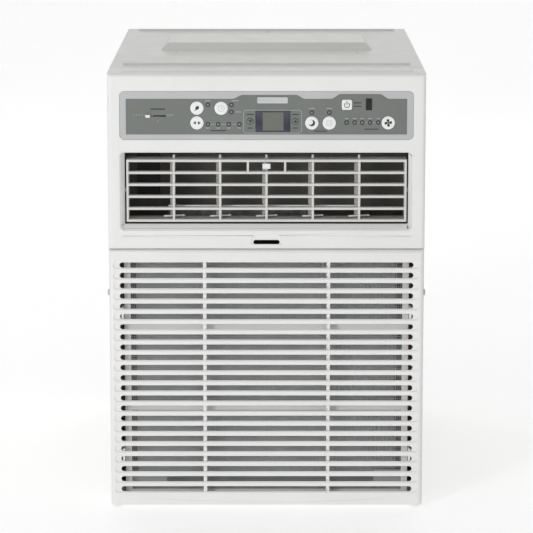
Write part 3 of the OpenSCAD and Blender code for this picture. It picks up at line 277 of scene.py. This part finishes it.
DUCT_GREY = moulded("duct_ps", (112, 111, 106), 0.55, 0.02, 5).material


# ---------------------------------------------------------------- mesh helpers

def finish_piece(name, bm, slot, body=CHASSIS, nodes=(), material=None, crease=35):
    """Makes the bmesh an object with its material and body, and hides the nodes it stands for.
    """
    bmesh.ops.remove_doubles(bm, verts=bm.verts, dist=1e-7)
    bmesh.ops.recalc_face_normals(bm, faces=bm.faces)
    mesh = bpy.data.meshes.new(name)
    bm.to_mesh(mesh)
    bm.free()
    mesh.materials.append(material or MATERIALS[slot])
    mesh.shade_smooth()
    mesh.set_sharp_from_angle(angle=math.radians(crease))
    piece = bpy.data.objects.new(name, mesh)
    scene.collection.objects.link(piece)
    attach(piece, body)
    if nodes:
        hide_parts(*nodes)
    return piece


def loft(bm, rings, caps=(True, True)):
    """Joins closed outlines of (x, z) at their depths; both ends are capped."""
    loops = [[bm.verts.new(point(x, depth, z)) for x, z in outline] for outline, depth in rings]
    for a, b in zip(loops, loops[1:]):
        for i in range(len(a)):
            j = (i + 1) % len(a)
            bm.faces.new((a[i], a[j], b[j], b[i]))
    if caps[0]:
        bm.faces.new(loops[0][::-1])
    if caps[1]:
        bm.faces.new(loops[-1])


def slab(bm, x0, x1, d0, d1, z0, z1):
    loft(bm, [([(x0, z0), (x1, z0), (x1, z1), (x0, z1)], d) for d in (d0, d1)])


def circle(x, z, r, count=32, start=0.0, sweep=360.0):
    """Points of a circle, or of an arc with both of its ends, anticlockwise."""
    points = count + 1 if sweep < 360 else count
    return [(x + r * math.cos(math.radians(start + sweep * i / count)),
             z + r * math.sin(math.radians(start + sweep * i / count))) for i in range(points)]


def rounded(x0, x1, z0, z1, r, inset=0.0, count=6):
    """Outline of a rectangle with round corners, taken in by inset."""
    x0, x1, z0, z1, r = x0 + inset, x1 - inset, z0 + inset, z1 - inset, max(r - inset, 0.05)
    corners = ((x1 - r, z1 - r, 0), (x0 + r, z1 - r, 90), (x0 + r, z0 + r, 180),
               (x1 - r, z0 + r, 270))
    return [p for x, z, a in corners for p in circle(x, z, r, count, a, 90)]


def band(x, z, r0, r1, start=0.0, sweep=360.0, count=28):
    """Outline of an arc-shaped stroke between two radii."""
    return circle(x, z, r1, count, start, min(sweep, 359.5)) + \
        circle(x, z, r0, count, start, min(sweep, 359.5))[::-1]


def column(bm, outline, z0, z1):
    """An upright prism on a closed outline of (x, depth)."""
    loops = [[bm.verts.new(point(x, d, z)) for x, d in outline] for z in (z0, z1)]
    bm.faces.new(loops[0][::-1])
    bm.faces.new(loops[1])
    for k in range(len(outline)):
        j = (k + 1) % len(outline)
        bm.faces.new((loops[0][k], loops[0][j], loops[1][j], loops[1][k]))


def box_outline(x0, x1, z0, z1):
    return [(x0, z0), (x1, z0), (x1, z1), (x0, z1)]


def edge_profile(r, steps=4):
    """(inset, depth behind the front) pairs of a rounded front edge, back to front."""
    return [(r * (1 - math.cos(math.radians(90 * i / steps))),
             r * (1 - math.sin(math.radians(90 * i / steps)))) for i in range(steps + 1)]


PRINT_H, PRINT_ROOT = 0.14, 0.02


def printed(name, outlines, depth, body=CHASSIS, material=None, slot="button"):
    """A thin raised print: closed outlines standing a little proud of depth."""
    bm = bmesh.new()
    for outline in outlines:
        loft(bm, [(outline, depth - PRINT_H), (outline, depth + PRINT_ROOT)])
    return finish_piece(name, bm, slot, body, material=material or PRINT_DARK)


FLAT_ANGLE = 0.5


def reshaped(node, slot, bevel, material=None, crease=30):
    """A copy of a CAD node's mesh with its triangles joined and its sharp edges rounded."""
    source = frame["nodes"][node]
    bm = bmesh.new()
    bm.from_mesh(source.data)
    bmesh.ops.remove_doubles(bm, verts=bm.verts, dist=2e-6)
    bmesh.ops.join_triangles(bm, faces=bm.faces, angle_face_threshold=math.radians(FLAT_ANGLE),
                             angle_shape_threshold=math.radians(180))
    piece = finish_piece(node + ".form", bm, slot, source["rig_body"], (node,),
                         material, crease)
    if bevel:
        modifier = piece.modifiers.new("edges", "BEVEL")
        modifier.width = bevel * MM
        modifier.segments = 2
        modifier.limit_method = "ANGLE"
        modifier.angle_limit = math.radians(crease)
        modifier.use_clamp_overlap = False
        modifier.miter_outer = "MITER_ARC"
        piece.modifiers.new("normals", "WEIGHTED_NORMAL").keep_sharp = True
    return piece


def carved(piece, cutter_bm, crease=35):
    """Cuts closed shapes from a piece for good, so that its final mesh holds the cuts."""
    bmesh.ops.recalc_face_normals(cutter_bm, faces=cutter_bm.faces)
    mesh = bpy.data.meshes.new("cutter")
    cutter_bm.to_mesh(mesh)
    cutter_bm.free()
    cutter = bpy.data.objects.new("cutter", mesh)
    scene.collection.objects.link(cutter)
    modifier = piece.modifiers.new("cut", "BOOLEAN")
    modifier.operation, modifier.solver, modifier.object = "DIFFERENCE", "EXACT", cutter
    bpy.context.view_layer.update()
    result = bpy.data.meshes.new_from_object(
        piece.evaluated_get(bpy.context.evaluated_depsgraph_get()))
    piece.modifiers.remove(modifier)
    piece.data = result
    bpy.data.objects.remove(cutter)
    result.shade_smooth()
    result.set_sharp_from_angle(angle=math.radians(crease))
    piece.modifiers.new("normals", "WEIGHTED_NORMAL").keep_sharp = True


# ---------------------------------------------------------------- CAD nodes

# node: (material slot, edge radius in mm); a radius of 0 keeps the CAD mesh itself
SURFACES = {
    "front_panel": ("white_plastic", 0.3),
    "louver_frame": ("white_parts", 0.3),
    "vane_link": ("white_parts", 0.2),
    "exhaust_lever": ("white_parts", 0.4),
    "filter_frame": ("white_parts", 0.4),
    "cabinet_shell": ("painted_steel", 0.25),
    "rear_guard": ("painted_steel", 0.2),
    "control_trim": ("silver_trim", 0.3),
    "control_label": ("label_grey", 0),
    "drip_tray": ("tray_plastic", 0.5),
    "outlet_duct": ("black_plastic", 0.3),
    "base_pan": ("galvanised", 0.2),
    "bulkhead": ("galvanised", 0.15),
    "control_box": ("galvanised", 0.25),
    "motor_bracket": ("galvanised", 0.3),
    "fan_shroud": ("galvanised", 0.2),
    "evap_end_plates": ("galvanised", 0),
    "cond_end_plates": ("galvanised", 0),
    "evap_tubes": ("copper", 0),
    "cond_tubes": ("copper", 0),
    "suction_line": ("copper", 0),
    "discharge_line": ("copper", 0),
    "liquid_line": ("copper", 0),
    "blower_housing": ("dark_plastic", 0.3),
    "blower_wheel": ("dark_plastic", 0),
    "axial_fan": ("dark_plastic", 0),
    "exhaust_damper": ("dark_plastic", 0.3),
    "fan_motor": ("motor_paint", 0),
    "motor_shaft": ("steel", 0),
    "hinge_pins": ("steel", 0),
    "cabinet_screws": ("steel", 0),
    "comp_studs": ("steel", 0),
    "comp_grommets": ("rubber", 0),
    "compressor": ("compressor_paint", 0),
    "terminal_cover": ("black_plastic", 0),
    "cord_gland": ("black_plastic", 0),
    "control_board": ("circuit_board", 0),
    "capacitor": ("capacitor_can", 0),
}
for i in range(1, 6):
    SURFACES[f"vane_{i}"] = ("white_parts", 0.3)

# nodes whose look differs from the rest of their slot
OWN_MATERIAL = {"outlet_duct": DUCT_GREY, "louver_frame": LOUVER_WHITE}
for node, (slot, radius) in SURFACES.items():
    if radius:
        reshaped(node, slot, radius, OWN_MATERIAL.get(node))
    else:
        data = frame["nodes"][node].data
        data.materials.clear()
        data.materials.append(MATERIALS[slot])


# ---------------------------------------------------------------- intake grille

# The CAD grille with the front edge of every slot rounded over, in millimetres.
SLOT_TOP, SLOT_PITCH, SLOT_H, SLOTS = 293.6, 12.2, 6.3, 23
GROOVE_HALF_W, GROOVE_H, EDGE_R = 178.0, 7.6, 1.0
CUTTER_LEAD, CUTTER_TIP = 1.0, 0.03
grille = reshaped("intake_grille", "white_plastic", 0)
bm = bmesh.new()
for i in range(SLOTS):
    z = SLOT_TOP - SLOT_H / 2 - SLOT_PITCH * i

    def mouth(out):
        return rounded(-GROOVE_HALF_W, GROOVE_HALF_W, z - GROOVE_H / 2, z + GROOVE_H / 2,
                       GROOVE_H / 2, -out, 8)

    loft(bm, [(mouth(EDGE_R), -CUTTER_LEAD)]
         + [(mouth(out), depth) for out, depth in edge_profile(EDGE_R)[::-1]]
         + [(mouth(-CUTTER_TIP), EDGE_R + CUTTER_TIP)])
carved(grille, bm)


# ---------------------------------------------------------------- coils and filter

FIN_WAVES = 8
FIN_HALF_T = 0.08


def fin_plates(node, pitch):
    """A pack of thin corrugated plates in place of the solid block."""
    x0, x1, d0, d1, z0, z1 = limits(node)
    count = int((x1 - x0) / pitch)
    reach = 0.4 * pitch
    bm = bmesh.new()
    for i in range(count + 1):
        x = x0 + pitch / 2 + (x1 - x0 - pitch) * i / count
        side = [(x + (reach if k % 2 else -reach), d0 + (d1 - d0) * k / FIN_WAVES)
                for k in range(FIN_WAVES + 1)]
        column(bm, [(a - FIN_HALF_T, d) for a, d in side]
               + [(a + FIN_HALF_T, d) for a, d in side[::-1]], z0, z1)
    finish_piece(node + ".plates", bm, "aluminium_fins", nodes=(node,))


fin_plates("evap_fins", 1.6)
fin_plates("cond_fins", 1.7)

# filter net: upright threads in front, level threads behind
NET_PITCH = 2.4
x0, x1, d0, d1, z0, z1 = limits("filter_mesh")
middle = (d0 + d1) / 2
bm = bmesh.new()
thread = 0.13
across = int((x1 - x0) / NET_PITCH)
for i in range(across + 1):
    x = x0 + thread + (x1 - x0 - 2 * thread) * i / across
    slab(bm, x - thread, x + thread, middle - 2 * thread, middle, z0, z1)
up = int((z1 - z0) / NET_PITCH)
for i in range(up + 1):
    z = z0 + thread + (z1 - z0 - 2 * thread) * i / up
    slab(bm, x0, x1, middle, middle + 2 * thread, z - thread, z + thread)
finish_piece("filter_net", bm, "filter_net", "grille", ("filter_mesh",))


# ---------------------------------------------------------------- controls

FLANGE_T = 1.0
FLANGE_HALF_H = 2.5


def dome(x, z, r, d0, d1, edge, rise, count, shares):
    """Rings of a round cap: straight side, rounded edge, then a very slight dome."""
    return [(circle(x, z, r, count), d1)] + \
        [(circle(x, z, r - i, count), d0 + rise + k) for i, k in edge_profile(edge, 5)] + \
        [(circle(x, z, (r - edge) * s, count), d0 + rise * s * s) for s in shares]


def domed_button(name, node):
    """A round button on its flange; gives back its middle and the depth of its face."""
    x0, x1, d0, d1, z0, z1 = limits(node)
    x, z, r = (x0 + x1) / 2, (z0 + z1) / 2, (z1 - z0) / 2
    bm = bmesh.new()
    loft(bm, dome(x, z, r, d0, d1, 1.0, 0.15, 48, (0.75, 0.5, 0.25)))
    if x1 - x0 > z1 - z0 + 1:
        slab(bm, x0, x1, d1 - FLANGE_T, d1, z - FLANGE_HALF_H, z + FLANGE_HALF_H)
    finish_piece(name, bm, "button", node, (node,))
    return x, z, d0 + 0.12


BUTTONS = {n: domed_button(n + ".cap", "button_" + n)
           for n in ("energy", "mode", "timer", "sleep", "filter", "fan")}


def shifted(outline, x, z, scale=1.0, turn=0.0):
    c, s = math.cos(math.radians(turn)), math.sin(math.radians(turn))
    return [(x + scale * (c * a - s * b), z + scale * (s * a + c * b)) for a, b in outline]


def leaf_outline():
    upper = [(-3.4 + 6.8 * t, 2.3 * math.sin(math.pi * t) ** 0.8) for t in
             [i / 12 for i in range(13)]]
    lower = [(3.4 - 6.8 * t, -2.3 * math.sin(math.pi * t) ** 0.8) for t in
             [i / 12 for i in range(1, 12)]]
    return upper + lower


# what is printed on each button
ICONS = {}
x, z = BUTTONS["energy"][:2]
ICONS["energy"] = (PRINT_DARK, [shifted(leaf_outline(), x + 0.3, z + 0.3, 0.85, 50),
                                shifted(box_outline(-4.6, -2.4, -0.35, 0.35), x + 0.3, z + 0.3,
                                        1.0, 50)])
x, z = BUTTONS["mode"][:2]
ICONS["mode"] = (PRINT_DARK, [[(x - 4.4, z), (x - 1.2, z - 2.1), (x - 1.2, z + 2.1)],
                              [(x + 4.4, z), (x + 1.2, z + 2.1), (x + 1.2, z - 2.1)]])
x, z = BUTTONS["timer"][:2]
ICONS["timer"] = (PRINT_FAINT, [band(x, z, 3.3, 3.9), box_outline(x - 0.3, x + 0.3, z, z + 2.6),
                                box_outline(x, x + 2.0, z - 0.3, z + 0.3)])
x, z = BUTTONS["sleep"][:2]
ICONS["sleep"] = (PRINT_DARK, [circle(x, z, 3.7, 30, 215, 250)
                               + circle(x - 1.7, z + 1.1, 3.0, 24, 92, -228)])
x, z = BUTTONS["filter"][:2]
ICONS["filter"] = (PRINT_FAINT, [band(x, z, 3.2, 3.8)]
                   + [box_outline(x - 2.7, x + 2.7, z + k - 0.2, z + k + 0.2)
                      for k in (-1.4, 0, 1.4)])
x, z = BUTTONS["fan"][:2]
BLADE = [(0.2, 0.3), (1.0, 1.4), (1.3, 2.8), (0.7, 4.1), (-0.8, 4.4), (-2.0, 3.7), (-1.9, 2.4),
         (-0.9, 1.3)]
ICONS["fan"] = (PRINT_DARK, [shifted(BLADE, x, z, 1.0, 90 * k) for k in range(4)]
                + [circle(x, z, 0.8, 16)])
for name, (ink, outlines) in ICONS.items():
    printed(name + ".icon", outlines, BUTTONS[name][2], "button_" + name, ink)

# power button, a rounded square
POWER_X, POWER_CORNER_R = 92.7, 1.8
x0, x1, d0, d1, z0, z1 = limits("button_power")
x, z, half = POWER_X, (z0 + z1) / 2, (z1 - z0) / 2
square = (x - half, x + half, z0, z1, POWER_CORNER_R)
bm = bmesh.new()
loft(bm, [(rounded(*square), d1)]
     + [(rounded(*square, i), d0 + k) for i, k in edge_profile(0.8)])
slab(bm, x0, x1, d1 - FLANGE_T, d1, z - FLANGE_HALF_H, z + FLANGE_HALF_H)
finish_piece("power.cap", bm, "button", "button_power", ("button_power",))
printed("power.icon", [band(x, z - 0.4, 2.6, 3.3, 122, 296),
                       box_outline(x - 0.4, x + 0.4, z + 0.2, z + 3.9)],
        d0, "button_power", PRINT_DARK)

# temperature buttons: small domes in the label's colour, each with a dark triangle
TEMP_FLANGE_HALF_H = 1.5
TRIANGLE = [(-2.2, -1.5), (2.2, -1.5), (0, 2.1)]
for node, turn in (("button_temp_down", 180), ("button_temp_up", 0)):
    x0, x1, d0, d1, z0, z1 = limits(node)
    x, z, r = (x0 + x1) / 2, (z0 + z1) / 2, (z1 - z0) / 2
    bm = bmesh.new()
    loft(bm, dome(x, z, r, d0, d1, 1.1, 0.2, 36, (0.66, 0.33)))
    slab(bm, x0, x1, d1 - FLANGE_T, d1, z - TEMP_FLANGE_HALF_H, z + TEMP_FLANGE_HALF_H)
    finish_piece(node + ".cap", bm, "label_grey", node, (node,))
    printed(node + ".icon", [shifted(TRIANGLE, x, z, 1.0, turn)], d0 + 0.1, node,
            PRINT_DARK, "label_grey")

# indicator lenses: a dark ring and a grey dome each
x0, x1, d0, d1, z0, z1 = limits("indicator_lenses")
CONTROL_Z = 465.2
LENSES = [(-67.6, 12.3), (-40.4, 12.3), (-40.4, 4.1), (-67.6, -10.3), (-55.7, -10.3),
          (-43.5, -10.3), (-31.3, -10.3), (52.3, 3.4), (72.4, 3.4), (92.4, -8.2),
          (101.7, -8.2), (110.4, -8.2), (119.4, -8.2), (128.9, -8.2)]
LENS_R, RING_R, DOME_R = 2.6, 1.55, 1.42
rings_bm, domes_bm = bmesh.new(), bmesh.new()
for x, up in LENSES:
    z = CONTROL_Z + up
    outline = [(circle(x, z, LENS_R, 28), d1), (circle(x, z, LENS_R, 28), d0 + 0.15),
               (circle(x, z, LENS_R - 0.15, 28), d0), (circle(x, z, RING_R, 28), d0),
               (circle(x, z, RING_R - 0.1, 28), d0 + 0.25)]
    loft(rings_bm, outline)
    loft(domes_bm, [(circle(x, z, DOME_R, 24), d0 + 0.2)]
         + [(circle(x, z, DOME_R * math.cos(a), 24), d0 + 0.2 - 0.18 * math.sin(a))
            for a in (0.4, 0.8, 1.2, 1.5)])
finish_piece("lens_rings", rings_bm, "lens", nodes=("indicator_lenses",), material=RING_NAVY)
finish_piece("lens_domes", domes_bm, "lens")

# display window: tinted glass with the grey panel in its middle and a frame on the label
x0, x1, d0, d1, z0, z1 = limits("display_window")
bm = bmesh.new()
loft(bm, [(rounded(x0, x1, z0, z1, 0.6), d1)]
     + [(rounded(x0, x1, z0, z1, 0.6, i), d0 + k) for i, k in edge_profile(0.35, 3)])
finish_piece("display_glass", bm, "display", nodes=("display_window",), crease=25)
grey = (-4.4, 19.6, z0 + 1.6, z1 - 1.6, 0.5)
bm = bmesh.new()
loft(bm, [(rounded(*grey), d0 + 0.05), (rounded(*grey), d0 - 0.03),
          (rounded(*grey, 0.15), d0 - 0.08)])
finish_piece("display_panel", bm, "display", material=LCD_GREY, crease=12)

LABEL_D = limits("control_label")[2]

# a raised line round the display and its captions
FRAME_H, FRAME_LINE = 0.16, 0.5
edge = (-26.7, 40.8, 444.6, 471.7, 3.5)
outer, inner = rounded(*edge), rounded(*edge, FRAME_LINE)
bm = bmesh.new()
loft(bm, [(outer, LABEL_D), (outer, LABEL_D - FRAME_H), (inner, LABEL_D - FRAME_H),
          (inner, LABEL_D)], (False, False))
finish_piece("display_frame", bm, "label_grey", material=PRINT_LIGHT)

# receiver window with upright ridges
x0, x1, d0, d1, z0, z1 = limits("receiver_window")
RIDGES, RIDGE_H, RIDGE_MARGIN = 5, 0.5, 0.4
base, width = d0 + RIDGE_H, (x1 - x0 - 2 * RIDGE_MARGIN) / RIDGES
front = [(x0, d1), (x0, base)]
for i in range(RIDGES):
    a = x0 + RIDGE_MARGIN + width * i
    front += [(a, base), (a + width * 0.25, d0), (a + width * 0.75, d0), (a + width, base)]
front += [(x1, base), (x1, d1)]
bm = bmesh.new()
column(bm, front, z0, z1)
finish_piece("receiver_lens", bm, "dark_window", nodes=("receiver_window",))

# blank name plate with a raised rim
x0, x1, d0, d1, z0, z1 = limits("name_plate")
plate = (x0, x1, z0, z1, 1.6)
bm = bmesh.new()
loft(bm, [(rounded(*plate), d1)]
     + [(rounded(*plate, inset), d0 + back) for inset, back in
        ((0.0, 0.2), (0.2, 0.0), (0.6, 0.0), (0.8, 0.2))])
finish_piece("blank_plate", bm, "name_plate", nodes=("name_plate",))

# prints on the label: captions as short bars, ticks and joining lines
DARK_BARS, LIGHT_BARS = [], []


def caption(x, z, width, height=1.1, light=False):
    """Words are left out: a caption is a short bar."""
    (LIGHT_BARS if light else DARK_BARS).append(
        box_outline(x - width / 2, x + width / 2, z - height / 2, z + height / 2))


for i in range(5):
    LIGHT_BARS.append(circle(-152.8 + 3.1 * i, 465.8, 0.55, 12))
caption(-111.5, 465.8, 8.5, 0.5, True)
caption(-125.5, 472.6, 17.0, 1.3)
LIGHT_BARS.append([(-126.6, 459.6), (-125.3, 457.9), (-124.0, 459.6), (-125.3, 458.6)])
caption(-49.5, 454.9, 36.3, 0.35, True)
caption(115.2, 457.0, 27.0, 0.35, True)
for x, z, width in ((-18.9, 466.4, 8.0), (33.3, 466.4, 8.0), (-18.9, 450.6, 6.0),
                    (33.3, 450.6, 6.0), (104.8, 479.8, 9.0), (104.8, 475.9, 9.0),
                    (121.0, 449.3, 16.0), (-55.7, 447.6, 18.0), (62.3, 447.0, 15.0)):
    caption(x, z, width, 1.0)
for x, z, width in ((-67.6, 482.4, 6.0), (-36.2, 482.3, 8.0), (-32.6, 469.3, 6.5),
                    (-67.6, 450.7, 4.0), (-55.7, 450.7, 4.0), (-43.5, 450.7, 4.0),
                    (-31.3, 450.7, 4.0), (52.3, 473.4, 6.5), (72.4, 473.4, 6.5),
                    (92.4, 461.6, 4.0), (101.7, 461.6, 4.0), (110.4, 461.6, 4.0),
                    (119.4, 461.6, 4.0), (128.9, 461.6, 4.0)):
    caption(x, z, width, 0.8, True)
printed("label_dark_print", DARK_BARS, LABEL_D, material=PRINT_DARK, slot="label_grey")
printed("label_light_print", LIGHT_BARS, LABEL_D, material=PRINT_LIGHT, slot="label_grey")


# ---------------------------------------------------------------- room, light and camera

FLOOR_HALF, FLOOR_BACK, CURVE_R, WALL_TOP = 4.0, 3.0, 1.2, 4.0


def floor_finish():
    f = Finish("studio_floor", (250, 250, 250), 0.7, specular=0.2)
    f.shader.inputs["Emission Color"].default_value = (1, 1, 1, 1)
    f.shader.inputs["Emission Strength"].default_value = 0.35
    return f.mottle(3, 1).roughness(20, 0.05).bump(f.noise(400, 2.0), 0.02).material


# a floor that curves up into a wall behind, in metres
bm = bmesh.new()
profile = [(-FLOOR_HALF, 0.0), (FLOOR_BACK, 0.0)] + \
    [(FLOOR_BACK + CURVE_R * math.sin(a), CURVE_R - CURVE_R * math.cos(a))
     for a in [math.radians(10 * i) for i in range(1, 10)]] + [(FLOOR_BACK + CURVE_R, WALL_TOP)]
lines = [[bm.verts.new((x, y, z)) for y, z in profile] for x in (-FLOOR_HALF, FLOOR_HALF)]
for i in range(len(profile) - 1):
    bm.faces.new((lines[0][i], lines[1][i], lines[1][i + 1], lines[0][i + 1]))
mesh = bpy.data.meshes.new("studio_floor")
bm.to_mesh(mesh)
bm.free()
mesh.materials.append(floor_finish())
mesh.shade_smooth()
floor = bpy.data.objects.new("studio_floor", mesh)
scene.collection.objects.link(floor)


def area_light(name, location, target, size, power):
    light = bpy.data.lights.new(name, "AREA")
    light.shape = "RECTANGLE"
    light.size, light.size_y = size
    light.energy = power
    lamp = bpy.data.objects.new(name, light)
    lamp.location = location
    direction = Vector(target) - Vector(location)
    lamp.rotation_euler = direction.to_track_quat("-Z", "Y").to_euler()
    scene.collection.objects.link(lamp)


# name: place and size in metres, power in watts; all face the middle of the unit
CENTRE = (0.0, -0.1, 0.26)
LIGHTS = {
    "key": ((-1.7, -2.9, 0.85), (0.7, 0.5), 27),
    "front_fill": ((0.3, -3.3, 0.8), (1.2, 0.8), 4),
    "top": ((0.0, -0.3, 2.4), (1.8, 1.2), 0.6),
    "back_high": ((0.0, 1.5, 2.7), (3.0, 2.0), 10),
}
WORLD_STRENGTH = 0.46
for name, (location, size, power) in LIGHTS.items():
    area_light(name, location, CENTRE, size, power)

world = bpy.data.worlds.new("studio")
scene.world = world
world.use_nodes = True
world.node_tree.nodes["Background"].inputs["Color"].default_value = (1, 1, 1, 1)
world.node_tree.nodes["Background"].inputs["Strength"].default_value = WORLD_STRENGTH

# millimetres for the lens, metres for the place, degrees for the tilt down
SENSOR, LENS, CAMERA_BACK, CAMERA_HEIGHT, CAMERA_TILT = 36, 187.5, 3.174, 0.875, 10.46
camera_data = bpy.data.cameras.new("camera")
camera_data.sensor_width = SENSOR
camera_data.lens = LENS
camera_data.clip_start = 0.1
camera = bpy.data.objects.new("camera", camera_data)
camera.location = (0.0, FRONT - CAMERA_BACK, CAMERA_HEIGHT)
camera.rotation_euler = (math.radians(90 - CAMERA_TILT), 0, 0)
scene.collection.objects.link(camera)
scene.camera = camera
scene.view_settings.view_transform = "Standard"

bpy.context.view_layer.update()
